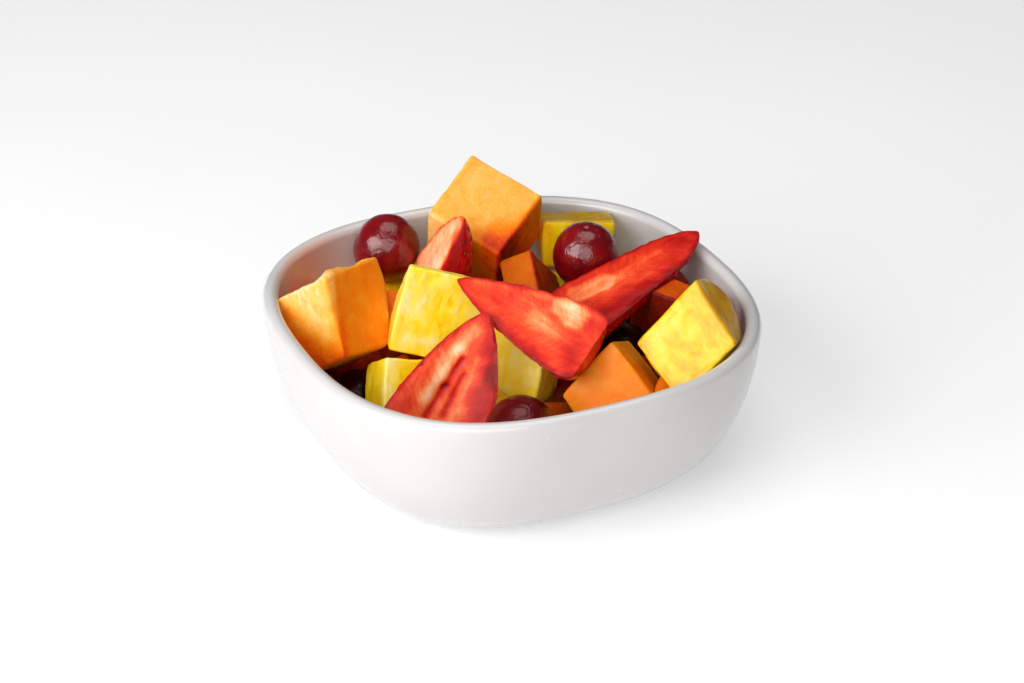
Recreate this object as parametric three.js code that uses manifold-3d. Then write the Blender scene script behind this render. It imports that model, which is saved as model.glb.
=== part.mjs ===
// Fruit salad in a white squared-off bowl.
// Millimetres, +Z up, origin under the middle of the bowl's foot, X and Y along the bowl's flat sides.
import * as THREE from 'three';
import { mergeVertices } from 'three/addons/utils/BufferGeometryUtils.js';
import Module from 'manifold-3d';

const wasm = await Module();
wasm.setup();
const { Manifold, Mesh: SolidMesh } = wasm;

// ---- driving dimensions ----
const BOWL_HALF = 68.8;           // half the width across the flats
const BOWL_HEIGHT = 46.5;
const FOOT_HALF = 38;            // half the width of the flat foot
const SQUARENESS = 2.6;          // exponent of the plan: 2 is round, larger is squarer
const WALL = 4.4;                // wall thickness at the rim
const FLOOR = 5.5;               // height of the inner floor
const FOOT_RECESS = 1.2;         // hollow under the foot
const LIP = WALL / 2;            // radius of the rounded rim
const FOOT_RIM = 4.5;            // width of the ring that the foot stands on, its inner slope left out
const FOOT_SLOPE = 1.5;          // width of the slope from that ring up into the recess
const BELLY = 1.75;              // the belly: how early it turns upright
const SHOULDER = 0.34;           // and how full it is low down
const FLOOR_HALF = FOOT_HALF - 4;
const FLOOR_DISH = 0.3;          // the inner floor is this much lower in the middle
const STRETCH = 1;               // the hand-made bowl is this much longer along the heap's x axis
const LOBES = 0.5;               // and bulges this much in three places
const ROUND_SEGMENTS = 40;
const GAP = 0.5;                 // clearance round each piece that lies on the fruit below
const HEAP_TURN = -23.7;         // the fruit is laid out on axes turned against the bowl's flats
const MOUND_EDGE = 14;           // height of the lower fruit at the wall
const MOUND_TOP = 20;            // and in the middle
const MOUND_RISE = 0.06;         // how much higher it is for each millimetre towards its back
const MOUND_GAP = 0.5;           // between the lower fruit and the floor
const MOUND_SIDE = 1;            // between the lower fruit and the wall
const FINEST = 0.3;              // edges of the lower fruit smaller than this are merged

const INNER_TOP = BOWL_HEIGHT - LIP;
const rad = THREE.MathUtils.degToRad;

// ---- helpers ----
function squircle(angle) {
  const c = Math.abs(Math.cos(angle)) ** SQUARENESS;
  const s = Math.abs(Math.sin(angle)) ** SQUARENESS;
  const fromHeap = angle - rad(HEAP_TURN);
  const uneven = STRETCH * Math.cos(2 * fromHeap) + LOBES * Math.sin(3 * fromHeap);
  return (c + s) ** (-1 / SQUARENESS) * (1 + uneven / BOWL_HALF);
}

// Height k (0 foot, 1 rim) to half-width: a wide soft belly that turns up into a nearly upright wall.
function bellied(k, foot, top) {
  return foot + (top - foot) * (1 - (1 - k) ** BELLY) ** SHOULDER;
}

// The inside's half-width at height z.
function innerHalf(z) {
  const k = THREE.MathUtils.clamp((z - FLOOR) / (INNER_TOP - FLOOR), 0, 1);
  return bellied(k, FLOOR_HALF, BOWL_HALF - WALL);
}

function closed(geometry) {
  const bare = new THREE.BufferGeometry();
  bare.setAttribute('position', geometry.getAttribute('position').clone());
  if (geometry.index) bare.setIndex(geometry.index.clone());
  return mergeVertices(bare, 1e-3);
}

function reshape(geometry, move) {
  const position = geometry.getAttribute('position');
  const v = new THREE.Vector3();
  for (let i = 0; i < position.count; i += 1) {
    v.fromBufferAttribute(position, i);
    move(v);
    position.setXYZ(i, v.x, v.y, v.z);
  }
  return geometry;
}

function toSolid(geometry) {
  const flat = closed(geometry);
  const solid = new SolidMesh({
    numProp: 3,
    vertProperties: new Float32Array(flat.getAttribute('position').array),
    triVerts: new Uint32Array(flat.index.array),
  });
  solid.merge();
  return new Manifold(solid);
}

function fromSolid(solid) {
  const mesh = solid.getMesh();
  const geometry = new THREE.BufferGeometry();
  geometry.setAttribute('position', new THREE.BufferAttribute(new Float32Array(mesh.vertProperties), 3));
  geometry.setIndex(new THREE.BufferAttribute(new Uint32Array(mesh.triVerts), 1));
  return closed(geometry);
}

// A lathe turned about Z from [half-width, height] pairs that run from the axis round to the axis.
function turned(profile, segments) {
  const points = profile.map(([r, z]) => new THREE.Vector2(r, z));
  return closed(new THREE.LatheGeometry(points, segments).rotateX(Math.PI / 2).rotateZ(Math.PI));
}

function squared(geometry) {
  return reshape(geometry, (v) => {
    const grow = squircle(Math.atan2(v.y, v.x));
    v.x *= grow;
    v.y *= grow;
  });
}

// ---- the bowl ----
function bowlShape() {
  const outside = 9;
  const rim = 6;
  const inside = 8;
  const ring = FOOT_HALF - FOOT_RIM;
  const profile = [[0, FOOT_RECESS], [ring - FOOT_SLOPE, FOOT_RECESS], [ring, 0], [FOOT_HALF, 0]];
  for (let i = 1; i <= outside; i += 1) {
    const k = (i / outside) ** 2.4;
    profile.push([bellied(k, FOOT_HALF, BOWL_HALF), INNER_TOP * k]);
  }
  for (let i = 1; i < rim; i += 1) {
    const turn = (Math.PI * i) / rim;
    profile.push([BOWL_HALF - LIP + LIP * Math.cos(turn), INNER_TOP + LIP * Math.sin(turn)]);
  }
  for (let i = inside; i >= 0; i -= 1) {
    const z = FLOOR + (INNER_TOP - FLOOR) * (i / inside) ** 2.2;
    profile.push([innerHalf(z), z]);
  }
  profile.push([0, FLOOR - FLOOR_DISH]);
  return squared(turned(profile, ROUND_SEGMENTS));
}

// ---- the fruit ----
// A block with rounded edges, divided by steps in the roundings and by middle in z between them.
function roundedBlock(size, round, steps, middle) {
  const counts = [2 * steps + 1, 2 * steps + 1, 2 * steps + middle];
  return reshape(closed(new THREE.BoxGeometry(2, 2, 2, ...counts)), (v) => {
    const core = new THREE.Vector3();
    for (let axis = 0; axis < 3; axis += 1) {
      const count = counts[axis];
      const i = Math.round((v.getComponent(axis) + 1) / 2 * count);
      const along = THREE.MathUtils.clamp((2 * i - count) / (count - 2 * steps), -1, 1);
      const out = Math.max(i - (count - steps), 0) - Math.max(steps - i, 0);
      core.setComponent(axis, along * (size[axis] / 2 - round));
      v.setComponent(axis, out / steps);
    }
    v.setLength(round).add(core);
  });
}

// A knife-cut block: size along x, y, z; the top face is scaled by taper and slid by skew, and rises by
// tilt along x. The edges are rounded and the sides bow out a little; on top of that the +x side bulges by
// the two numbers of bulge, at its front and at its back edge.
function chunkShape({
  size, taper = [1, 1], skew = [0, 0], tilt = 0, bulge = [0, 0], round = 1.3, bow = 0.4, steps = 2,
}) {
  const [w, d, h] = size;
  const middle = bulge[0] || bulge[1] ? 2 : 1;
  return reshape(roundedBlock(size, round, steps, middle), (v) => {
    const k = v.z / h + 0.5;
    const side = 1 - (2 * v.z / h) ** 2;
    const out = v.x > 0 ? bow + THREE.MathUtils.lerp(...bulge, v.y / d + 0.5) : -bow;
    v.z += tilt * v.x * k;
    v.x = v.x * (1 + (taper[0] - 1) * k) + skew[0] * (k - 0.5) + Math.min(Math.abs(v.x), 1) * out * side;
    v.y = v.y * (1 + (taper[1] - 1) * k) + skew[1] * (k - 0.5);
  });
}

function grapeShape({ size, segments = 16, rings = 11 }) {
  return closed(new THREE.SphereGeometry(0.5, segments, rings).rotateX(Math.PI / 2).scale(...size));
}

// Half a strawberry, its tip at +Z and its cut face towards -Y.
// size = [width of the cut face, thickness, length]; it narrows to the tip evenly by point, and the tip
// itself is the rounder the higher blunt is;
// hollow = depth of the core's hollow in the cut face; stem = how much of the stem end is cut flat.
function strawberryShape({ size, hollow = 0, blunt = 1.4, point = 0, stem = 0, segments = 18, rings = 11 }) {
  const [w, t, l] = size;
  const stemShoulder = 0.2;      // share of the length over which the stem end widens
  const cutBulge = 1.2;          // how far the cut face bulges
  const coreRim = 8;             // how sharply the core's hollow starts at the cut face's edge
  const profile = [[0, -l / 2]];
  for (let i = 1; i < rings; i += 1) {
    const k = (1 - Math.cos((Math.PI * i) / rings)) / 2;
    const shoulder = stem + (1 - stem) * Math.sqrt(1 - (1 - Math.min(k / stemShoulder, 1)) ** 2.4);
    profile.push([0.5 * shoulder * (1 - point * k) * (1 - k ** blunt) ** 0.7, -l / 2 + l * k]);
  }
  profile.push([0, l / 2]);
  return reshape(turned(profile, segments), (v) => {
    if (v.y > 0) {
      v.y *= 2 * t;
    } else {
      const k = v.z / l + 0.5;
      v.y = v.y * cutBulge + hollow * coreHollow(2 * v.x, k) * Math.min(1, -v.y * coreRim);
    }
    v.x *= w;
  });
}

// How deep the core's hollow is, 0 to 1, at across (-1 to 1) and k (0 stem, 1 tip) on the cut face.
function coreHollow(across, k) {
  const middle = 0.36;
  const narrow = 2.2;
  const short = 3.2;
  return Math.exp(-((across * narrow) ** 2) - ((k - middle) * short) ** 2);
}

const shapes = { melon: chunkShape, pineapple: chunkShape, grape: grapeShape, strawberry: strawberryShape };

const look = {
  bowl: { color: 0xf2f1ef, roughness: 0.28 },
  melon: { color: 0xf59a3e, roughness: 0.45 },
  pineapple: { color: 0xf3c727, roughness: 0.42 },
  strawberry: { color: 0xd8402a, roughness: 0.35 },
  grape: { color: 0x5c0f1c, roughness: 0.18 },
  lower: { color: 0x8e2a1a, roughness: 0.45 },
};

// Every piece lies on the heap's own axes: x to the right of the heap's front, y to its back, z up.
// Blocks and grapes: middle and turn (degrees about x, then y, then z).
// Strawberries: the points the stem end and the tip reach, and where the cut face looks.
const PIECES = [
  { name: 'melon_left', kind: 'melon', at: [-51.9, 2, 38.6], turn: [-36, 14, 52], size: [20, 19, 25.5],
    taper: [1.26, 1.14], skew: [2.5, -2.5], tilt: 0.14, bulge: [2.4, 2.4] },
  { name: 'melon_top', kind: 'melon', at: [-8, 45, 48], turn: [24, -23, 57], size: [26.5, 26, 21.5],
    skew: [1, 3] },
  { name: 'melon_middle', kind: 'melon', at: [7.5, 24, 33.5], turn: [-39, 47, 54], size: [21, 11, 22] },
  { name: 'melon_right', kind: 'melon', at: [53, 6.9, 34.3], turn: [-2, 2, -36], size: [19.8, 11.6, 20.4],
    taper: [0.97, 1] },
  { name: 'melon_front', kind: 'melon', at: [31, -17, 24], turn: [-43, -48, 15], size: [22, 20, 20],
    skew: [3, 1] },
  { name: 'pineapple_centre', kind: 'pineapple', at: [-21.5, 2.2, 41], turn: [-10, 16, 4],
    size: [24.5, 15, 27], taper: [1, 0.2], skew: [0, -6] },
  { name: 'pineapple_right', kind: 'pineapple', at: [52.3, -19.9, 43.7], turn: [-41, -46, 17],
    size: [23.4, 13, 21.3], taper: [1.1, 1], skew: [4.2, 3], bulge: [-0.8, 3.2] },
  { name: 'pineapple_left', kind: 'pineapple', at: [-30.9, -13.1, 21.5], turn: [-35, 18, 27],
    size: [20.5, 12.6, 20.2], skew: [3, 3] },
  { name: 'pineapple_front', kind: 'pineapple', at: [4, -3.9, 26.9], turn: [-19, 2, -25],
    size: [17.5, 17, 22] },
  { name: 'pineapple_back', kind: 'pineapple', at: [21, 52.5, 39.5], turn: [-11, 3, 6],
    size: [22.5, 12, 15] },
  { name: 'grape_left', kind: 'grape', at: [-38.5, 40.5, 42.5], turn: [0, 20, 0], size: [20.5, 20.5, 22] },
  { name: 'grape_right', kind: 'grape', at: [23.4, 33.5, 43.5], turn: [10, 0, 0], size: [20.5, 20.5, 21.5] },
  { name: 'grape_front', kind: 'grape', at: [3, -40.1, 25.6], turn: [90, 0, 0], size: [20.5, 20.5, 22] },
  { name: 'grape_dark_left', kind: 'grape', at: [-46, -3, 15], turn: [60, 0, 0], size: [16, 16, 18] },
  { name: 'grape_dark_right', kind: 'grape', at: [33.7, 11.4, 22.5], turn: [60, 0, 0], size: [17.5, 17.5, 19] },
  { name: 'strawberry_wedge', kind: 'strawberry', foot: [-26.5, 24.5, 33.5], tip: [-14.3, 21, 62.5],
    face: [-0.91, -0.36, 0.2], size: [29, 13, 33], blunt: 4, point: 0.45 },
  { name: 'strawberry_centre', kind: 'strawberry', foot: [24, -24.5, 43], tip: [-16, -1.5, 54.5],
    face: [0.1, -0.8, 0.9], size: [25, 11, 46], stem: 0.7 },
  { name: 'strawberry_front', kind: 'strawberry', foot: [-24, -38.6, 17.5], tip: [-7.6, -17.3, 48.8],
    face: [-0.1, -1, 0.3], size: [36, 12, 47], hollow: 4 },
  { name: 'strawberry_right', kind: 'strawberry', foot: [17.2, 0.7, 40.4], tip: [57.2, 33.9, 51.1],
    face: [-0.42, -0.45, 0.85], size: [26, 12, 55], blunt: 8, point: 0.5, stem: 0.6 },
];

function place(mesh, piece) {
  if (piece.tip) {
    const foot = new THREE.Vector3(...piece.foot);
    const tip = new THREE.Vector3(...piece.tip);
    const up = tip.clone().sub(foot).normalize();
    const back = new THREE.Vector3(...piece.face).negate();
    back.addScaledVector(up, -back.dot(up)).normalize();
    const side = new THREE.Vector3().crossVectors(back, up);
    mesh.quaternion.setFromRotationMatrix(new THREE.Matrix4().makeBasis(side, back, up));
    mesh.position.addVectors(foot, tip).multiplyScalar(0.5);
  } else {
    mesh.position.set(...piece.at);
    mesh.rotation.set(...piece.turn.map(rad), 'ZYX');
  }
  return mesh;
}

function part(name, geometry, style) {
  const material = new THREE.MeshStandardMaterial({ ...look[style], metalness: 0 });
  const mesh = new THREE.Mesh(geometry, material);
  mesh.name = name;
  return mesh;
}

// The fruit that fills the bottom of the bowl: a mound shaped by the bowl's inside, with the pieces that
// show between the others standing out of it, and a seat left for each piece that lies on it.
const LUMPS = [
  { kind: 'melon', at: [-52, 24, 23], turn: [15, -20, 60], size: [20, 21, 20] },
  { kind: 'pineapple', at: [-35, 45, 21], turn: [20, 15, 30], size: [24, 20, 21] },
  { kind: 'melon', at: [-29, 23, 22], turn: [25, 10, 15], size: [22, 20, 20] },
  { kind: 'strawberry', foot: [-20, 56, 18], tip: [10, 52, 31], face: [0, 1, 0.6], size: [24, 16, 34] },
  { kind: 'pineapple', at: [20, 43, 19], turn: [-15, 20, 20], size: [24, 20, 22] },
  { kind: 'grape', at: [42, 44, 26], turn: [60, 0, 0], size: [20, 20, 21.5] },
  { kind: 'melon', at: [52, 26, 24], turn: [15, -10, 50], size: [21, 22, 20] },
  { kind: 'pineapple', at: [56, 4, 17], turn: [-20, 15, 35], size: [22, 22, 20] },
  { kind: 'melon', at: [49, -27, 18], turn: [20, 20, -15], size: [22, 21, 20] },
  { kind: 'pineapple', at: [24, -46, 20], turn: [35, -10, 25], size: [23, 20, 21] },
  { kind: 'grape', at: [-46, -25, 15], turn: [50, 30, 0], size: [19, 19, 21] },
  { kind: 'strawberry', foot: [-37, -38, 14], tip: [-6, -51, 24], face: [0.3, -0.6, 0.8], size: [26, 16, 34] },
  { kind: 'grape', at: [-13, 12, 27], turn: [0, 50, 0], size: [19.5, 19.5, 21] },
  { kind: 'strawberry', foot: [28, 24, 17], tip: [4, 8, 31], face: [0.5, -0.6, 0.7], size: [25, 16, 32] },
  { kind: 'melon', at: [12, -27, 13], turn: [30, 20, 40], size: [20, 19, 18] },
  { kind: 'pineapple', at: [-9, -19, 17], turn: [-20, 25, -20], size: [20, 18, 18] },
  { kind: 'melon', at: [-34, -2, 12], turn: [20, -15, 25], size: [18, 20, 18] },
  { kind: 'grape', at: [41, -5, 19], turn: [20, 40, 0], size: [19.5, 19.5, 21] },
  { kind: 'melon', at: [-5, 33, 17], turn: [-25, 20, 30], size: [21, 20, 20] },
];

// The room inside the bowl, kept clear of its floor and wall, turned to the heap's axes.
function roomShape() {
  const steps = 5;
  const profile = [[0, FLOOR + MOUND_GAP - FLOOR_DISH + 0.1]];
  for (let i = 0; i <= steps; i += 1) {
    const z = FLOOR + MOUND_GAP + (INNER_TOP - FLOOR) * (i / steps) ** 1.8;
    profile.push([innerHalf(z) - MOUND_SIDE, z]);
  }
  profile.push([0, INNER_TOP + MOUND_GAP]);
  const room = new THREE.Mesh(squared(turned(profile, 36)));
  room.rotation.z = -rad(HEAP_TURN);
  return placedSolid(room, 0);
}

// A low dome from wall to wall, a little higher at the back.
function domeShape() {
  const steps = 5;
  const half = BOWL_HALF - 1;
  const profile = [[0, FLOOR], [half, FLOOR]];
  for (let i = steps; i >= 0; i -= 1) {
    const r = i / steps;
    profile.push([half * r, MOUND_EDGE + (MOUND_TOP - MOUND_EDGE) * (1 - r * r)]);
  }
  const dome = reshape(turned(profile, 24), (v) => {
    if (v.z > FLOOR + 1) v.z += MOUND_RISE * v.y;
  });
  return placedSolid(new THREE.Mesh(dome), 0);
}

function moundShape() {
  let solid = domeShape();
  for (const lump of LUMPS) {
    const shape = shapes[lump.kind]({ round: 2, steps: 1, segments: 12, rings: 8, ...lump });
    solid = solid.add(placedSolid(place(new THREE.Mesh(shape), lump), 0));
  }
  solid = solid.intersect(roomShape());
  for (const piece of PIECES) {
    const seat = shapes[piece.kind]({ ...piece, hollow: 0, steps: 1 });
    solid = solid.subtract(placedSolid(place(new THREE.Mesh(seat), piece), GAP));
  }
  return fromSolid(largest(solid.simplify(FINEST)));
}

function largest(solid) {
  return solid.decompose().sort((a, b) => b.volume() - a.volume())[0];
}

// A mesh's shape as a solid in the heap's axes, grown by the given margin on every side.
function placedSolid(mesh, margin) {
  const geometry = closed(mesh.geometry);
  geometry.computeBoundingBox();
  const size = geometry.boundingBox.getSize(new THREE.Vector3());
  const middle = geometry.boundingBox.getCenter(new THREE.Vector3());
  const grow = size.clone().addScalar(2 * margin).divide(size);
  reshape(geometry, (v) => v.sub(middle).multiply(grow).add(middle));
  mesh.updateMatrix();
  return toSolid(geometry.applyMatrix4(mesh.matrix));
}

const root = new THREE.Group();
root.name = 'fruit_salad';
root.add(part('bowl', bowlShape(), 'bowl'));
const heap = new THREE.Group();
heap.name = 'heap';
heap.rotation.z = rad(HEAP_TURN);
root.add(heap);
const pieces = PIECES.map((piece) => place(part(piece.name, shapes[piece.kind](piece), piece.kind), piece));
heap.add(part('lower_fruit', moundShape(), 'lower'), ...pieces);

export default root;
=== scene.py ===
import itertools
import math

import bpy
import numpy as np
from mathutils import Euler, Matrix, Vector


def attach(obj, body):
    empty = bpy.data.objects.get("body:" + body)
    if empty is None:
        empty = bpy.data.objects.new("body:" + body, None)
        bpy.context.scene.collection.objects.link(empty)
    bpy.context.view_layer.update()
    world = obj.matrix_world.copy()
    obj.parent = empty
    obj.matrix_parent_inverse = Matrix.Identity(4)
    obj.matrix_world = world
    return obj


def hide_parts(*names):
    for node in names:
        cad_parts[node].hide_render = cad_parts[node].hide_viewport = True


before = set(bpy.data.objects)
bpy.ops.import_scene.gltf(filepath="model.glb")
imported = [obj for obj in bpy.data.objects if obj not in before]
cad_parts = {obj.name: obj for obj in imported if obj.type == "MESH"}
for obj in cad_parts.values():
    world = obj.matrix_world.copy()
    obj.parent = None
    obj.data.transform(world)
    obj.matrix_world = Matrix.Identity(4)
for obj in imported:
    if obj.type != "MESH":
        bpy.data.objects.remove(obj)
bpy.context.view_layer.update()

# ---- driving dimensions, in millimetres unless a name says otherwise ----
MM = 0.001
HEAP_TURN = math.radians(-23.7)  # the fruit is laid out on axes turned against the bowl's flats
BOWL_HALF = 68.8
BOWL_HEIGHT = 46.5
FOOT_HALF = 38
SQUARENESS = 2.6
WALL = 4.4
FLOOR = 5.5
FOOT_RECESS = 1.2
LIP = WALL / 2
FOOT_RIM = 4.5
FOOT_SLOPE = 1.5
BELLY = 1.75
SHOULDER = 0.34
FLOOR_HALF = FOOT_HALF - 4
INNER_TOP = BOWL_HEIGHT - LIP
FLOOR_DISH = 0.3  # how much lower the middle of the bowl's floor is than its edge
STRETCH = 1  # how far the hand-made rim departs from its even plan, twice round
LOBES = 0.5  # and three times round
CHUNK_STEP = 0.5  # how finely the chunks are meshed
CHUNK_CROWD = 0.55  # how much their points crowd towards the edges, from 0 to 1
CHUNK_ROUND = 1.0
CHUNK_BOW = 0.4
CUT_BULGE = 1.2  # twice how far a strawberry's cut face stands out


# ---- noise ----
CELL_PRIMES = (73856093, 19349663, 83492791)
MIX_STEPS = ((13, 1274126177), (15, 2246822519))


def noise(points, size, seed):
    """Smooth noise of about -1 to 1, with features about as large as size."""
    place = points / size + seed * 17.31
    cell = np.floor(place).astype(np.int64)
    inside = place - cell
    fade = inside * inside * inside * (inside * (inside * 6 - 15) + 10)
    total = np.zeros(len(place))
    for corner in itertools.product((0, 1), repeat=3):
        bits = np.bitwise_xor.reduce((cell + corner) * CELL_PRIMES, axis=1)
        for shift, prime in MIX_STEPS:
            bits = ((bits ^ (bits >> shift)) * prime) & 0xFFFFFFFF
        slope = np.stack([bits & 1023, (bits >> 10) & 1023, (bits >> 20) & 1023], 1) / 511.5 - 1
        weight = np.prod(np.where(corner, fade, 1 - fade), 1)
        total += weight * ((inside - corner) * slope).sum(1)
    return 1.5 * total


def rough(points, size, seed, octaves=3):
    """Noise with finer and weaker layers added."""
    return sum(noise(points, size / 2 ** i, seed + 11 * i) / 2 ** i for i in range(octaves))


def ease(low, high, value):
    """A soft step from 0 at low to 1 at high."""
    k = np.clip((value - low) / (high - low), 0, 1)
    return k * k * (3 - 2 * k)


# ---- meshes ----
def lengths(rows):
    return np.linalg.norm(rows, axis=1)


def angles_round(count):
    return np.linspace(0, 2 * math.pi, count, endpoint=False)


def corner_normals(points, quads):
    """The surface's direction at each point."""
    a, b, c, d = (points[quads[:, i]] for i in range(4))
    face = np.cross(c - a, d - b)
    total = np.zeros_like(points)
    for i in range(4):
        np.add.at(total, quads[:, i], face)
    return total / np.maximum(lengths(total), 1e-12)[:, None]


def raised(points, quads, height):
    """Points moved out of their surface."""
    return points + corner_normals(points, quads) * height[:, None]


def new_object(name, data):
    """An object in the scene with the given data."""
    thing = bpy.data.objects.new(name, data)
    bpy.context.scene.collection.objects.link(thing)
    return thing


def make_piece(name, points, quads, materials, attributes=None, material_index=None):
    """A smooth mesh from points in millimetres in the part's frame, riding on the part.

    A quad whose last two corners are the same is a triangle.
    """
    mesh = bpy.data.meshes.new(name)
    faces = [q if q[2] != q[3] else q[:3] for q in quads.tolist()]
    mesh.from_pydata((points * MM).tolist(), [], faces)
    for key, values in (attributes or {}).items():
        vector = values.ndim == 2
        layer = mesh.attributes.new(key, "FLOAT_VECTOR" if vector else "FLOAT", "POINT")
        layer.data.foreach_set("vector" if vector else "value", values.astype(np.float32).ravel())
    for material in materials:
        mesh.materials.append(material)
    if material_index is not None:
        mesh.polygons.foreach_set("material_index", material_index.astype(np.int32))
    mesh.polygons.foreach_set("use_smooth", np.ones(len(mesh.polygons), bool))
    mesh.update()
    piece = new_object(name, mesh)
    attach(piece, "root")
    return piece


def ring_grid(rows, columns):
    """Quads over a tube of rows x columns points, closed by the two points that follow them."""
    here = np.arange(columns)
    following = np.roll(here, -1)
    quads = []
    for low in range(0, (rows - 1) * columns, columns):
        high = low + columns
        quads.append(np.stack([low + here, low + following, high + following, high + here], 1))
    top, first = (rows - 1) * columns, np.full(columns, rows * columns)
    quads.append(np.stack([following, here, first, first], 1))
    quads.append(np.stack([top + here, top + following, first + 1, first + 1], 1))
    return np.concatenate(quads)


def ring_points(rows, columns, outline):
    """Rings between two points, the poles; outline gives a ring's half-widths and height."""
    angle = angles_round(columns)
    rings = []
    for tilt in np.linspace(0, math.pi, rows + 2)[1:-1]:
        wide, deep, high = outline(tilt)
        rings.append(np.column_stack([wide * np.cos(angle), deep * np.sin(angle), np.full(columns, high)]))
    return np.concatenate(rings + [[[0, 0, -1], [0, 0, 1]]])


def box_grid(counts):
    """Points of -1 to 1 on a box's surface, and the quads between them."""
    shape = tuple(n + 1 for n in counts)
    on = np.zeros(shape, bool)
    on[[0, -1]] = on[:, [0, -1]] = on[:, :, [0, -1]] = True
    index = np.full(shape, -1)
    steps = np.argwhere(on)
    index[on] = np.arange(len(steps))
    quads = []
    for axis in range(3):
        for end in (0, -1):
            face = np.take(index, end, axis)
            quad = np.stack([face[:-1, :-1], face[1:, :-1], face[1:, 1:], face[:-1, 1:]], -1).reshape(-1, 4)
            quads.append(quad[:, ::-1] if (end == 0) != (axis == 1) else quad)
    return 2 * steps / np.array(counts) - 1, np.concatenate(quads)


# ---- placing ----
def turned(points, angle):
    """Points turned about the vertical axis."""
    c, s = math.cos(angle), math.sin(angle)
    return points @ np.array([[c, s, 0], [-s, c, 0], [0, 0, 1]])


def placement(spec):
    """The turn and middle of a piece, on the heap's axes."""
    if "tip" in spec:
        foot, tip = Vector(spec["foot"]), Vector(spec["tip"])
        up = (tip - foot).normalized()
        back = -Vector(spec["face"])
        back = (back - up * back.dot(up)).normalized()
        return np.array([back.cross(up), back, up]), np.array((foot + tip) / 2)
    turn = Euler([math.radians(a) for a in spec["turn"]], "XYZ").to_matrix()
    return np.array(turn.transposed()), np.array(spec["at"], float)


def placed(points, spec):
    """From a piece's own axes to the part's frame."""
    basis, middle = placement(spec)
    return turned(points @ basis + middle, HEAP_TURN)


def own_axes(points, spec):
    """From the part's frame to a piece's own axes."""
    basis, middle = placement(spec)
    return (turned(points, -HEAP_TURN) - middle) @ basis.T


# ---- shapes ----
def squircle(angle):
    """The bowl's plan in each direction, as a share of its half-width."""
    plan = (np.abs(np.cos(angle)) ** SQUARENESS + np.abs(np.sin(angle)) ** SQUARENESS) ** (-1 / SQUARENESS)
    from_heap = angle - HEAP_TURN
    return plan * (1 + (STRETCH * np.cos(2 * from_heap) + LOBES * np.sin(3 * from_heap)) / BOWL_HALF)


def bellied(k, foot, top):
    """The half-width of a wall at k from its foot to its top."""
    return foot + (top - foot) * (1 - (1 - k) ** BELLY) ** SHOULDER


def bowl_profile():
    """Half-width and height from under the foot, up the outside, over the rim and down the inside."""
    ring = FOOT_HALF - FOOT_RIM
    under = [(r, FOOT_RECESS) for r in np.linspace(1, ring - FOOT_SLOPE - 0.3, 14)]
    under += [(ring - FOOT_SLOPE * (1 - k), FOOT_RECESS * (1 - ease(0, 1, k)))
              for k in np.linspace(0, 1, 8)]
    foot = [(ring + (FOOT_HALF - 0.4 - ring) * k, 0) for k in np.linspace(0.15, 1, 5)]
    up = np.linspace(0, 1, 72)[1:] ** 2.2
    outside = [(bellied(k, FOOT_HALF, BOWL_HALF), INNER_TOP * k) for k in up]
    turn = np.linspace(0, math.pi, 18)[1:-1]
    rim = [(BOWL_HALF - LIP + LIP * math.cos(a), INNER_TOP + LIP * math.sin(a)) for a in turn]
    inside = [(bellied(k, FLOOR_HALF, BOWL_HALF - WALL), FLOOR + (INNER_TOP - FLOOR) * k)
              for k in np.linspace(1, 0, 60) ** 2.0]
    floor = [(r, FLOOR - FLOOR_DISH * (1 - r / FLOOR_HALF)) for r in np.linspace(FLOOR_HALF - 1, 1, 16)]
    return np.array(under + foot + outside + rim + inside + floor)


def bowl_shape():
    """The glazed bowl, with the slight unevenness of the hand above its foot."""
    columns = 240
    profile = bowl_profile()
    angle = angles_round(columns)
    grow = squircle(angle)
    ring = np.stack([grow * np.cos(angle), grow * np.sin(angle)], 1)
    rows = [np.column_stack([ring * r, np.full(columns, z)]) for r, z in profile]
    points = np.concatenate(rows + [[[0, 0, FOOT_RECESS], [0, 0, FLOOR - FLOOR_DISH]]])
    quads = ring_grid(len(profile), columns)
    hand = 0.22 * noise(points, 38, 3) + 0.05 * noise(points, 12, 4)
    return raised(points, quads, hand * ease(0.5, 6, points[:, 2])), quads


def chunk_shape(spec):
    """A knife-cut block in its own axes, with the unit place of each point on its surface."""
    size = np.array(spec["size"], float)
    unit, quads = box_grid(np.maximum((size / CHUNK_STEP).astype(int), 8))
    unit = (1 - CHUNK_CROWD) * unit + CHUNK_CROWD * (1.5 * unit - 0.5 * unit ** 3)
    half = size / 2
    points = unit * half
    core = np.clip(points, CHUNK_ROUND - half, half - CHUNK_ROUND)
    out = points - core
    points = core + CHUNK_ROUND * out / np.maximum(lengths(out), 1e-9)[:, None]
    return shear(points, spec), quads, unit


def shear(points, spec):
    """Tapers, slides and tilts the top and bows the sides, as the solid's own form does."""
    taper, skew = spec.get("taper", (1, 1)), spec.get("skew", (0, 0))
    near, far = spec.get("bulge", (0, 0))
    half = np.array(spec["size"]) / 2
    k = points[:, 2] / (2 * half[2]) + 0.5
    side = 1 - (points[:, 2] / half[2]) ** 2
    across = points[:, 0] / half[0]
    bulge = (near + (far - near) * (points[:, 1] / half[1] + 1) / 2) * (across + 1) / 2
    x = points[:, 0] * (1 + (taper[0] - 1) * k) + skew[0] * (k - 0.5)
    x = x + (np.clip(across * 1.6, -1, 1) * CHUNK_BOW + bulge) * side
    y = points[:, 1] * (1 + (taper[1] - 1) * k) + skew[1] * (k - 0.5)
    return np.column_stack([x, y, points[:, 2] + spec.get("tilt", 0) * points[:, 0] * k])


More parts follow.
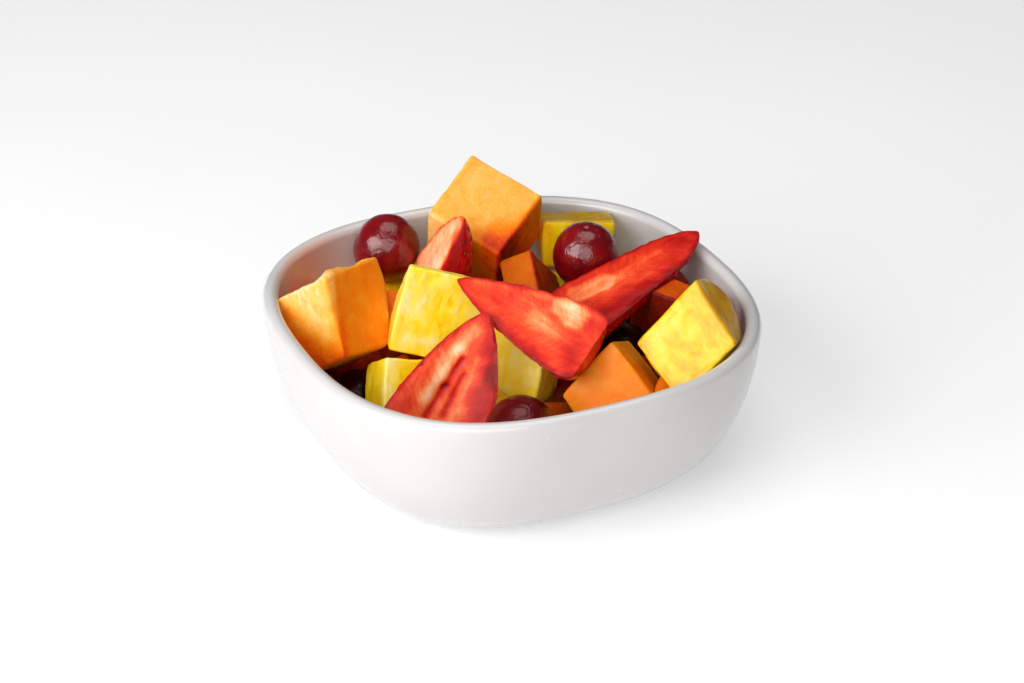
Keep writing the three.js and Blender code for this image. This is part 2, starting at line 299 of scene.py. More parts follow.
def grape_shape(spec):
    """A grape in its own axes, slightly dented, with the small scar of its stem at +z."""
    columns, rows, seed = 96, 62, spec["seed"]
    unit = ring_points(rows, columns, lambda tilt: (math.sin(tilt), math.sin(tilt), -math.cos(tilt)))
    dent = 0.012 * noise(unit * 10, 9, seed) + 0.006 * noise(unit * 10, 4, seed + 1)
    scar = 0.05 * np.exp(-((lengths(unit[:, :2]) / 0.09) ** 2)) * (unit[:, 2] > 0)
    return unit * (1 + dent - scar)[:, None] * np.array(spec["size"]) / 2, ring_grid(rows, columns), unit


def strawberry_outline(k, spec):
    """Half of the berry's width, as a share of it, at k from the stem end to the tip."""
    stem = spec.get("stem", 0)
    rise = np.sqrt(np.clip(1 - (1 - np.minimum(k / 0.2, 1)) ** 2.4, 0, 1))
    narrowing = 1 - spec.get("point", 0) * k
    tip = np.clip(1 - k ** spec.get("blunt", 1.4), 0, 1) ** 0.7
    return 0.5 * (stem + (1 - stem) * rise) * narrowing * tip


def strawberry_shape(spec):
    """Half a berry in its own axes: the tip is at +z and the cut face towards -y.

    The unit place has the shares across and deep, the share along and whether it is on the cut stem end.
    """
    columns, rows = 150, 110
    width, thick, length = spec["size"]
    k = (1 - np.cos(math.pi * np.arange(1, rows + 1) / (rows + 1))) / 2
    half = strawberry_outline(k, spec)
    disc = np.linspace(0.06, 0.985, 24) if spec.get("stem") else np.zeros(0)
    half = np.append(disc * strawberry_outline(np.zeros(1), spec), half)
    k = np.append(np.zeros(len(disc)), k)
    angle = angles_round(columns)
    across = np.append(np.outer(half, np.cos(angle)).ravel(), [0, 0])
    depth = np.append(np.outer(half, np.sin(angle)).ravel(), [0, 0])
    along = np.append(np.repeat(k, columns), [0, 1])
    on_disc = np.arange(len(along)) < len(disc) * columns
    unit = np.column_stack([2 * across, 2 * depth, along, on_disc])
    hollow = np.exp(-((4.4 * across) ** 2) - ((along - 0.36) * 3.2) ** 2) * np.minimum(1, -depth * 8)
    y = np.where(depth > 0, depth * 2 * thick, depth * CUT_BULGE + spec.get("hollow", 0) * hollow)
    points = np.column_stack([across * width, y, (along - 0.5) * length])
    return points, ring_grid(len(k), columns), unit


# ---- the pieces, on the heap's axes as in the solids ----
def fruit(kind, at, turn, size, **form):
    return {"kind": kind, "at": at, "turn": turn, "size": size, **form}


def half_berry(foot, tip, face, size, **form):
    return {"kind": "strawberry", "foot": foot, "tip": tip, "face": face, "size": size, **form}


PIECES = {
    "melon_left": fruit(
        "melon", (-51.9, 2, 38.6), (-36, 14, 52), (20, 19, 25.5), taper=(1.26, 1.14), skew=(2.5, -2.5),
        tilt=0.14, bulge=(2.4, 2.4)),
    "melon_top": fruit("melon", (-8, 45, 48), (24, -23, 57), (26.5, 26, 21.5), skew=(1, 3)),
    "melon_middle": fruit("melon", (7.5, 24, 33.5), (-39, 47, 54), (21, 11, 22)),
    "melon_right": fruit("melon", (53, 6.9, 34.3), (-2, 2, -36), (19.8, 11.6, 20.4), taper=(0.97, 1)),
    "melon_front": fruit("melon", (31, -17, 24), (-43, -48, 15), (22, 20, 20), skew=(3, 1)),
    "pineapple_centre": fruit(
        "pineapple", (-21.5, 2.2, 41), (-10, 16, 4), (24.5, 15, 27), taper=(1, 0.2), skew=(0, -6)),
    "pineapple_right": fruit(
        "pineapple", (52.3, -19.9, 43.7), (-41, -46, 17), (23.4, 13, 21.3), taper=(1.1, 1), skew=(4.2, 3),
        bulge=(-0.8, 3.2)),
    "pineapple_left": fruit(
        "pineapple", (-30.9, -13.1, 21.5), (-35, 18, 27), (20.5, 12.6, 20.2), skew=(3, 3)),
    "pineapple_front": fruit("pineapple", (4, -3.9, 26.9), (-19, 2, -25), (17.5, 17, 22)),
    "pineapple_back": fruit("pineapple", (21, 52.5, 39.5), (-11, 3, 6), (22.5, 12, 15)),
    "grape_left": fruit("grape", (-38.5, 40.5, 42.5), (0, 20, 0), (20.5, 20.5, 22)),
    "grape_right": fruit("grape", (23.4, 33.5, 43.5), (10, 0, 0), (20.5, 20.5, 21.5)),
    "grape_front": fruit("grape", (3, -40.1, 25.6), (90, 0, 0), (20.5, 20.5, 22)),
    "grape_dark_left": fruit("grape", (-46, -3, 15), (60, 0, 0), (16, 16, 18)),
    "grape_dark_right": fruit("grape", (33.7, 11.4, 22.5), (60, 0, 0), (17.5, 17.5, 19)),
    "strawberry_wedge": half_berry(
        (-26.5, 24.5, 33.5), (-14.3, 21, 62.5), (-0.91, -0.36, 0.2), (29, 13, 33), blunt=4, point=0.45),
    "strawberry_centre": half_berry(
        (24, -24.5, 43), (-16, -1.5, 54.5), (0.1, -0.8, 0.9), (25, 11, 46), stem=0.7),
    "strawberry_front": half_berry(
        (-24, -38.6, 17.5), (-7.6, -17.3, 48.8), (-0.1, -1, 0.3), (36, 12, 47), hollow=4),
    "strawberry_right": half_berry(
        (17.2, 0.7, 40.4), (57.2, 33.9, 51.1), (-0.42, -0.45, 0.85), (26, 12, 55), blunt=8, point=0.5,
        stem=0.6),
}

# The fruit that shows between the pieces above it, fused in the lower fruit.
LUMPS = [
    fruit("melon", (-52, 24, 23), (15, -20, 60), (20, 21, 20)),
    fruit("pineapple", (-35, 45, 21), (20, 15, 30), (24, 20, 21)),
    fruit("melon", (-29, 23, 22), (25, 10, 15), (22, 20, 20)),
    half_berry((-20, 56, 18), (10, 52, 31), (0, 1, 0.6), (24, 16, 34)),
    fruit("pineapple", (20, 43, 19), (-15, 20, 20), (24, 20, 22)),
    fruit("grape", (42, 44, 26), (60, 0, 0), (20, 20, 21.5)),
    # The low tones and shades given to some of these are painted shade in the gaps between the pieces
    # above.
    fruit("melon", (52, 26, 24), (15, -10, 50), (21, 22, 20), tone=0.18, shade=0.4),
    fruit("pineapple", (56, 4, 17), (-20, 15, 35), (22, 22, 20), shade=0.8),
    fruit("melon", (49, -27, 18), (20, 20, -15), (22, 21, 20), shade=0.3),
    fruit("pineapple", (24, -46, 20), (35, -10, 25), (23, 20, 21)),
    fruit("grape", (-46, -25, 15), (50, 30, 0), (19, 19, 21)),
    half_berry((-37, -38, 14), (-6, -51, 24), (0.3, -0.6, 0.8), (26, 16, 34)),
    fruit("grape", (-13, 12, 27), (0, 50, 0), (19.5, 19.5, 21)),
    half_berry((28, 24, 17), (4, 8, 31), (0.5, -0.6, 0.7), (25, 16, 32)),
    fruit("melon", (12, -27, 13), (30, 20, 40), (20, 19, 18), shade=0.6),
    fruit("pineapple", (-9, -19, 17), (-20, 25, -20), (20, 18, 18)),
    fruit("melon", (-34, -2, 12), (20, -15, 25), (18, 20, 18)),
    fruit("grape", (41, -5, 19), (20, 40, 0), (19.5, 19.5, 21)),
    fruit("melon", (-5, 33, 17), (-25, 20, 30), (21, 20, 20)),
]


# ---- surface relief and the values that the materials read ----
CREASED = 0.3  # how strong a pineapple's creases are, unless it says otherwise
CORE_AT = 0.34  # the middle of a strawberry's core, from the stem end to the tip
VEIN_SLANT = 0.9  # the veins run from the core outwards and this much towards the tip
FAR = 99  # further than any edge


def seed_of(spec):
    """A repeatable number for each piece, from where it lies."""
    middle = placement(spec)[1]
    return 1 + int(abs(middle[0] * 7 + middle[1] * 13 + middle[2] * 29)) % 97


def marked(points, marks, seed):
    """The sum of marks from a start to an end, with a width and an amount, soft or crisp."""
    total = np.zeros(len(points))
    points = points + 0.6 * noise(points, 5, seed + 31)[:, None] * (1, 0, 0.5)
    wobble = 1 + 0.3 * noise(points, 4, seed + 30)
    for start, end, width, amount, *crisp in marks:
        start, way = np.array(start, float), np.subtract(end, start)
        share = np.clip((points - start) @ way / (way @ way), 0, 1)
        away = lengths(points - start - share[:, None] * way) * wobble
        total += amount * np.exp(-((away / width) ** (6 if crisp else 2)))
    return total


def washed(washes, unit, wave):
    """The sum of washes: a way on the unit block, where it starts and is full, and an amount."""
    total = np.zeros(len(unit))
    for way, start, end, amount in washes:
        total += amount * ease(start, end, unit[:, :3] @ np.array(way) + wave)
    return total


def toned(spec, points, unit, seed):
    """A piece's own tone, with washes and marks on it, and its painted shade, with painted shadows."""
    tone = spec.get("tone", 0.5) + 0.06 * noise(points, 13, seed + 5) + 0.04 * noise(points, 5, seed + 6)
    wave = 0.14 * noise(points, 6, seed + 8)
    tone = tone + washed(spec.get("washes", ()), unit, wave) + marked(points, spec.get("marks", ()), seed)
    # Painted shade: the share by which the colour is darkened where the piece lies in shade.
    shade = spec.get("shade", 0.0) + washed(spec.get("shadows", ()), unit, wave)
    return {"tone": tone, "shade": np.clip(shade, 0, 1)}


def melon_values(spec, points, unit, seed):
    """Tone runs from 0, a deep red that is painted shade, over the orange flesh, to 1, the pale side where
    the seeds were.
    """
    values = toned(spec, points, unit, seed)
    values["fibres"] = spec.get("fibrous", 0.2) * ease(0.68, 0.92, values["tone"])
    return values


def melon_relief(spec, points, seed):
    return 0.28 * noise(points, 9, seed) + 0.10 * rough(points, 3.2, seed + 3, 3)


def creases(spec, points, seed):
    """Thin winding lines, a few millimetres apart, and how strong they are on the piece."""
    lines = noise(points * (1, 1, 0.6), 4.5, seed + 14) + 0.15 * noise(points, 1.5, seed + 15)
    return spec.get("creased", CREASED) * np.exp(-(lines / 0.07) ** 2)


def pineapple_values(spec, points, unit, seed):
    """Tone runs from 0, the shaded brown flesh, over the deep yellow, to 1, the pale fibrous flesh."""
    values = toned(spec, points, unit, seed)
    patches = (0.10 + 0.04 * spec.get("creased", CREASED)) * rough(points * (1, 1, 0.5), 6, seed + 9, 2)
    # Darker along the creases: painted shade in them; the patches are the flesh's own.
    values["tone"] += patches - 0.09 * creases(spec, points, seed)
    return values


def pineapple_relief(spec, points, seed):
    fibre = points * (1, 0.9, 0.3)
    ridges = 0.02 * noise(fibre, 1.3, seed) + 0.12 * noise(fibre, 3.2, seed + 1)
    pits = np.minimum(rough(points, 4.5, seed + 2, 2) + 0.2, 0)
    return ridges + 0.30 * pits + 0.28 * noise(points, 8, seed + 4) - 0.28 * creases(spec, points, seed)


def strawberry_values(spec, points, unit, seed):
    """Tone of the cut face, from 0 by the skin to 1 in the core; where the skin is; where the veins run."""
    width, _, length = spec["size"]
    across, depth, along, on_disc = unit.T
    skin = ease(-0.012, 0.03, depth) * (1 - on_disc)
    half = strawberry_outline(along, spec) * 2
    from_side = (half - np.abs(across)) * width / 2
    from_stem = along * length + (FAR if spec.get("stem") else 1.5)
    from_rim = (half - np.hypot(across, depth)) * width / 2
    edge = np.minimum(np.minimum(from_side, (1 - along) * length * 0.6), from_stem)
    edge = np.maximum(np.where(on_disc > 0, from_rim, edge), 0)
    x, z = across * width / 2, (along - CORE_AT) * length
    core = np.exp(-((x / (0.20 * width)) ** 2) - (z / (0.30 * length)) ** 2)
    values = toned(spec, points * (1, 0, 1), unit, seed)
    values["tone"] += 0.16 * core - 0.28 * np.exp(-edge ** 2)
    aside = np.sqrt(x * x + 1) + 0.8 * noise(points, 5, seed + 12)
    run = z - VEIN_SLANT * aside
    grain = np.column_stack([run, 0.14 * (aside + z), 0.10 * x + depth])
    return {**values, "skin": skin, "edge": edge, "grain": grain}


def strawberry_relief(spec, points, values):
    skin, grain, seed = values["skin"], values["grain"], spec["seed"]
    veins = 0.07 * noise(grain, 1.6, seed) + 0.24 * noise(points, 7, seed + 1)
    rim = 0.06 * np.exp(-((values["edge"] - 0.6) / 0.7) ** 2)
    grooves = marked(points * (1, 0, 1), spec.get("grooves", ()), seed)
    cut = (veins + rim) * ease(0.2, 1.2, values["edge"]) - grooves
    soft = 0.18 * noise(points, 6, seed + 2)
    ragged = 0.34 * noise(points, 2.8, seed + 3) * np.exp(-((values["edge"] / 1.8) ** 2))
    return (1 - skin) * cut + skin * soft + ragged


VALUES = {"melon": melon_values, "pineapple": pineapple_values, "strawberry": strawberry_values,
          "grape": toned}
RELIEFS = {"melon": melon_relief, "pineapple": pineapple_relief}


# ---- strawberry seeds ----
SEED_PITCH = 3.5  # from seed to seed
SEED_SIZE = (0.5, 0.26, 0.8)  # half of its width, height and length
SEED_SINK = 0.06  # how much higher than the dimple's bottom a seed lies
DIMPLE_DEPTH = 0.7
DIMPLE_REACH = 1.2


def seed_sites(spec):
    """Points on the skin, in staggered rows round the berry, with the way out."""
    points, quads, unit = strawberry_shape(spec)
    normals = corner_normals(points, quads)
    length = spec["size"][2]
    draw = np.random.default_rng(seed_of(spec))
    on_skin = (unit[:, 1] > 0.04) & (unit[:, 3] == 0)
    rows = int(length * 0.93 / (SEED_PITCH * 0.87))
    sites = []
    for row in range(rows):
        along = (row + 0.7) / (rows + 0.4)
        half = strawberry_outline(np.array([along]), spec)[0]
        arc = math.pi * half * (spec["size"][0] + 2 * spec["size"][1]) / 2
        count = max(int(arc / SEED_PITCH), 1)
        for i in range(count):
            angle = math.pi * (i + (0.75 if row % 2 else 0.25)) / count
            want = np.array([2 * half * math.cos(angle), 2 * half * math.sin(angle), along])
            want[:2] += draw.normal(0, 0.02, 2)
            want[2] += draw.normal(0, 0.006)
            gap = lengths((unit[:, :3] - want) * (1, 1, 2)) + np.where(on_skin, 0, FAR)
            sites.append(int(np.argmin(gap)))
    sites = sorted(set(sites))
    return points[sites], normals[sites]


def dimples(points, sites):
    """How deep each point lies in the dimples round the seeds."""
    depth = np.zeros(len(points))
    for site in sites:
        depth = np.maximum(depth, np.exp(-((lengths(points - site) / DIMPLE_REACH) ** 2)))
    return depth


def seed_mesh(places):
    """One mesh with a pointed seed at each (middle, way out, way to the tip), in the part's frame."""
    columns, rows = 8, 5
    one = SEED_SIZE * ring_points(rows, columns, lambda tilt: (
        math.sin(tilt) * (1 - 0.25 * math.cos(tilt)), math.sin(tilt), -math.cos(tilt)))
    quads = ring_grid(rows, columns)
    all_points, all_quads = [], []
    for i, (middle, out, tip) in enumerate(places):
        side = np.cross(out, tip)
        side /= np.linalg.norm(side)
        tip = np.cross(side, out)
        all_points.append(middle + one @ np.array([side, out, tip]))
        all_quads.append(quads + i * len(one))
    return np.concatenate(all_points), np.concatenate(all_quads)


# ---- materials ----
def linear(red, green, blue):
    """An sRGB colour of 0 to 255 as Blender's linear colour."""
    value = np.array([red, green, blue]) / 255
    value = np.where(value <= 0.04045, value / 12.92, ((value + 0.055) / 1.055) ** 2.4)
    return (*value.tolist(), 1.0)


def add(tree, kind, inputs=None, **settings):
    """A node with its settings, and its inputs given as values or as other nodes' outputs."""
    node = tree.nodes.new(kind)
    for key, value in settings.items():
        setattr(node, key, value)
    for key, value in (inputs or {}).items():
        socket = node.inputs[key]
        if isinstance(value, bpy.types.NodeSocket):
            tree.links.new(value, socket)
        else:
            socket.default_value = value
    return node


def reckon(tree, operation, first, second=0.0, third=0.0):
    return add(tree, "ShaderNodeMath", {0: first, 1: second, 2: third}, operation=operation).outputs[0]


def spread(tree, value, limits):
    """A value mapped from one range to another, each 0 to 1 where the limits don't say."""
    return add(tree, "ShaderNodeMapRange", {"Value": value, **limits}).outputs[0]


def blend_colours(tree, share, first, second):
    return add(tree, "ShaderNodeMix", {0: share, 6: first, 7: second}, data_type="RGBA").outputs[2]


def ramp(tree, share, stops):
    """Colours along a share of 0 to 1; each stop is a place and an sRGB colour."""
    node = add(tree, "ShaderNodeValToRGB", {"Fac": share})
    elements = node.color_ramp.elements
    while len(elements) < len(stops):
        elements.new(0.5)
    for element, (at, colour) in zip(elements, stops):
        element.position = at
        element.color = linear(*colour)
    return node.outputs["Color"]


def attribute(tree, name, vector=False):
    node = add(tree, "ShaderNodeAttribute", attribute_name=name)
    return node.outputs["Vector" if vector else "Fac"]


def noise_at(tree, place, size, detail=2.0, stretch=None, distortion=0.0):
    """Noise of 0 to 1 with features of the given size, in the place's own unit."""
    if stretch:
        place = add(tree, "ShaderNodeMapping", {"Vector": place, "Scale": stretch}).outputs[0]
    node = add(tree, "ShaderNodeTexNoise",
               {"Vector": place, "Scale": 1 / size, "Detail": detail, "Distortion": distortion})
    return node.outputs[0]


def spots_at(tree, place, size):
    """The distance to the nearest of scattered points, in their own pitch."""
    node = add(tree, "ShaderNodeTexVoronoi", {"Vector": place, "Scale": 1 / size, "Randomness": 1.0})
    return node.outputs["Distance"]


def bumped(tree, height, distance):
    """The surface's direction over bumps as high as a distance in millimetres."""
    return add(tree, "ShaderNodeBump", {"Height": height, "Distance": distance * MM}).outputs["Normal"]


def object_place(tree):
    return add(tree, "ShaderNodeTexCoord").outputs["Object"]


def new_material(name):
    material = bpy.data.materials.new(name)
    material.use_nodes = True
    material.node_tree.nodes.clear()
    return material, material.node_tree


def glow(radius, scale, weight=0.6):
    """Light that scatters under the surface, over a scale in millimetres."""
    return {"Subsurface Weight": weight, "Subsurface Radius": radius, "Subsurface Scale": scale * MM}


def finish_material(tree, inputs):
    shader = add(tree, "ShaderNodeBsdfPrincipled", inputs)
    output = add(tree, "ShaderNodeOutputMaterial")
    tree.links.new(shader.outputs[0], output.inputs["Surface"])


def shifted(tree, tone, *textures):
    """A tone moved up and down by textures of 0 to 1, each with its amount."""
    for texture, amount in textures:
        tone = reckon(tree, "MULTIPLY_ADD", reckon(tree, "SUBTRACT", texture, 0.5), amount, tone)
    return tone


def summed(tree, *textures):
    """The sum of textures, each times its amount."""
    total = 0.0
    for texture, amount in textures:
        total = reckon(tree, "MULTIPLY_ADD", texture, amount, total)
    return total


def melon_material():
    material, tree = new_material("melon_flesh")
    place = attribute(tree, "local", vector=True)
    grain = noise_at(tree, place, 0.55, 4)
    cells = spots_at(tree, place, 1.3)
    strands = noise_at(tree, place, 1.4, 4, stretch=(1, 1, 0.3), distortion=0.6)
    crumb = reckon(tree, "MULTIPLY", reckon(tree, "SUBTRACT", strands, 0.5), attribute(tree, "fibres"))
    tone = shifted(tree, attribute(tree, "tone"), (noise_at(tree, place, 3.6, 2), 0.24), (grain, 0.26))
    tone = summed(tree, (tone, 1.0), (reckon(tree, "LESS_THAN", cells, 0.22), 0.05), (crumb, 0.55))
    # The lowest tones run to deep red: painted shade.
    flesh = ramp(tree, tone, ((0.0, (104, 4, 4)), (0.15, (176, 26, 8)), (0.30, (228, 72, 10)),
                              (0.45, (252, 117, 8)), (0.60, (255, 148, 20)), (0.75, (254, 178, 74)),
                              (0.90, (252, 194, 112)), (1.0, (250, 210, 150))))
    # Painted shade: darker towards brown where the shade attribute says.
    flesh = blend_colours(tree, attribute(tree, "shade"), flesh, linear(96, 34, 8))
    height = summed(tree, (cells, 0.25), (grain, 0.5), (crumb, 2.5))
    shine = spread(tree, noise_at(tree, place, 3.0, 2),
                   {"From Min": 0.35, "From Max": 0.65, "To Min": 0.34, "To Max": 0.55})
    finish_material(tree, {
        **glow((1.0, 0.36, 0.08), 2.8),
        "Base Color": flesh, "Roughness": shine, "Normal": bumped(tree, height, 0.28),
        "IOR": 1.37, "Specular IOR Level": 0.16, "Coat Weight": 0.05, "Coat Roughness": 0.14})
    return material


def pineapple_material():
    material, tree = new_material("pineapple_flesh")
    place = attribute(tree, "local", vector=True)
    strands = noise_at(tree, place, 1.1, 4, stretch=(1, 1, 0.4), distortion=0.8)
    grain = noise_at(tree, place, 0.5, 3)
    clouds = noise_at(tree, place, 3.4, 2, stretch=(1, 1, 0.55), distortion=0.8)
    tone = shifted(tree, attribute(tree, "tone"), (clouds, 0.60), (strands, 0.12), (grain, 0.06))
    flesh = ramp(tree, tone, ((0.0, (120, 56, 4)), (0.18, (228, 164, 8)), (0.36, (246, 190, 8)),
                              (0.52, (252, 212, 14)), (0.68, (255, 223, 58)), (0.84, (255, 230, 118)),
                              (1.0, (255, 240, 178))))
    # Painted shade: darker towards brown where the shade attribute says.
    flesh = blend_colours(tree, attribute(tree, "shade"), flesh, linear(120, 64, 6))
    height = summed(tree, (grain, 0.3), (strands, 0.3), (clouds, 2.0))
    finish_material(tree, {
        **glow((1.0, 0.72, 0.10), 2.5),
        "Base Color": flesh, "Roughness": 0.36, "Normal": bumped(tree, height, 0.15),
        "IOR": 1.37, "Specular IOR Level": 0.3, "Coat Weight": 0.25, "Coat Roughness": 0.12})
    return material


def strawberry_material():
    material, tree = new_material("strawberry")
    place = attribute(tree, "local", vector=True)
    skin = attribute(tree, "skin")
    along_veins = attribute(tree, "grain", vector=True)
    veins = noise_at(tree, along_veins, 2.2, 2, distortion=0.5)
    fine_veins = noise_at(tree, along_veins, 0.8, 2, distortion=0.5)
    patches = noise_at(tree, place, 2.6, 2, stretch=(1, 1, 0.35), distortion=0.5)
    grain = noise_at(tree, place, 0.6, 3)
    tone = shifted(tree, attribute(tree, "tone"), (veins, 0.22), (patches, 0.38), (fine_veins, 0.16),
                   (grain, 0.14))
    cut = ramp(tree, tone, ((0.0, (136, 2, 4)), (0.20, (184, 14, 8)), (0.40, (216, 44, 22)),
                            (0.55, (236, 80, 36)), (0.70, (247, 130, 74)), (0.85, (252, 174, 122)),
                            (1.0, (254, 214, 176))))
    height = summed(tree, (grain, 0.3), (patches, 0.6))
    red = ramp(tree, height, ((0.25, (166, 5, 12)), (0.6, (214, 15, 18)), (0.9, (232, 40, 26))))
    colour = blend_colours(tree, skin, cut, red)
    # Painted shade: darker towards near black red where the shade attribute says.
    colour = blend_colours(tree, attribute(tree, "shade"), colour, linear(70, 2, 3))
    from_edge = spread(tree, attribute(tree, "edge"), {"From Min": 0.3, "From Max": 1.6})
    gloss = reckon(tree, "MULTIPLY", skin, from_edge)
    finish_material(tree, {
        **glow((1.0, 0.26, 0.12), 2.5),
        "Base Color": colour, "Normal": bumped(tree, height, 0.20),
        "Roughness": spread(tree, skin, {"To Min": 0.42, "To Max": 0.24}),
        "IOR": 1.38, "Specular IOR Level": 0.3, "Coat Weight": reckon(tree, "ADD", gloss, 0.03),
        "Coat Roughness": 0.07})
    return material


def grape_material():
    material, tree = new_material("grape_skin")
    place = attribute(tree, "local", vector=True)
    fine = noise_at(tree, place, 1.0, 4)
    dots = reckon(tree, "LESS_THAN", spots_at(tree, place, 1.6), 0.10)
    tone = shifted(tree, attribute(tree, "tone"), (noise_at(tree, place, 6.0, 3), 0.7), (fine, 0.2))
    skin = ramp(tree, tone, ((0.0, (24, 1, 3)), (0.3, (84, 2, 10)), (0.6, (128, 4, 13)),
                             (1.0, (170, 16, 20))))
    skin = blend_colours(tree, reckon(tree, "MULTIPLY", dots, 0.2), skin, linear(196, 96, 70))
    bloom = ramp(tree, noise_at(tree, place, 5.0, 5), ((0.45, (0, 0, 0)), (0.8, (50, 50, 50))))
    colour = blend_colours(tree, bloom, skin, linear(140, 70, 80))
    # Painted shade: darker, down to near black, and less coat where the shade attribute says.
    colour = blend_colours(tree, attribute(tree, "shade"), colour, linear(14, 0, 2))
    gloss = reckon(tree, "MULTIPLY", reckon(tree, "SUBTRACT", 1.0, attribute(tree, "shade")), 0.8)
    finish_material(tree, {
        **glow((1.0, 0.12, 0.10), 4, weight=0.3),
        "Base Color": colour, "Roughness": 0.36, "Normal": bumped(tree, fine, 0.03),
        "IOR": 1.45, "Specular IOR Level": 0.12, "Coat Weight": gloss, "Coat Roughness": 0.11,
        "Coat IOR": 1.6, "Coat Normal": bumped(tree, noise_at(tree, place, 3.2, 3, distortion=1.0), 0.38)})
    return material


def seed_material():
    material, tree = new_material("strawberry_seed")
    place = object_place(tree)
    tone = noise_at(tree, place, 2.5 * MM, 3)
    colour = ramp(tree, tone, ((0.3, (92, 16, 8)), (0.55, (140, 48, 18)), (0.8, (190, 108, 44))))
    finish_material(tree, {"Base Color": colour, "Roughness": 0.38, "Coat Weight": 0.4,
                           "Normal": bumped(tree, noise_at(tree, place, 0.2 * MM, 2), 0.02)})
    return material


def glaze_material():
    material, tree = new_material("bowl_glaze")
    place = object_place(tree)
    cloud = noise_at(tree, place, 30 * MM, 3)
    fine = noise_at(tree, place, 2.5 * MM, 3)
    colour = ramp(tree, cloud, ((0.3, (198, 196, 195)), (0.7, (203, 201, 200))))
    # Painted bounce light: the glaze turns orange inside the wall by the melon.
    colour = blend_colours(tree, attribute(tree, "painted_bounce"), colour, linear(236, 128, 52))
    finish_material(tree, {
        "Base Color": colour, "Roughness": spread(tree, fine, {"To Min": 0.20, "To Max": 0.30}),
        "Normal": bumped(tree, noise_at(tree, place, 9 * MM, 2), 0.05),
        "IOR": 1.5, "Coat Weight": 0.5, "Coat Roughness": 0.08})
    return material


MATERIALS = {"melon": melon_material(), "pineapple": pineapple_material(),
             "strawberry": strawberry_material(), "grape": grape_material()}
SEED_MATERIAL = seed_material()
SHAPES = {"melon": chunk_shape, "pineapple": chunk_shape, "strawberry": strawberry_shape,
          "grape": grape_shape}
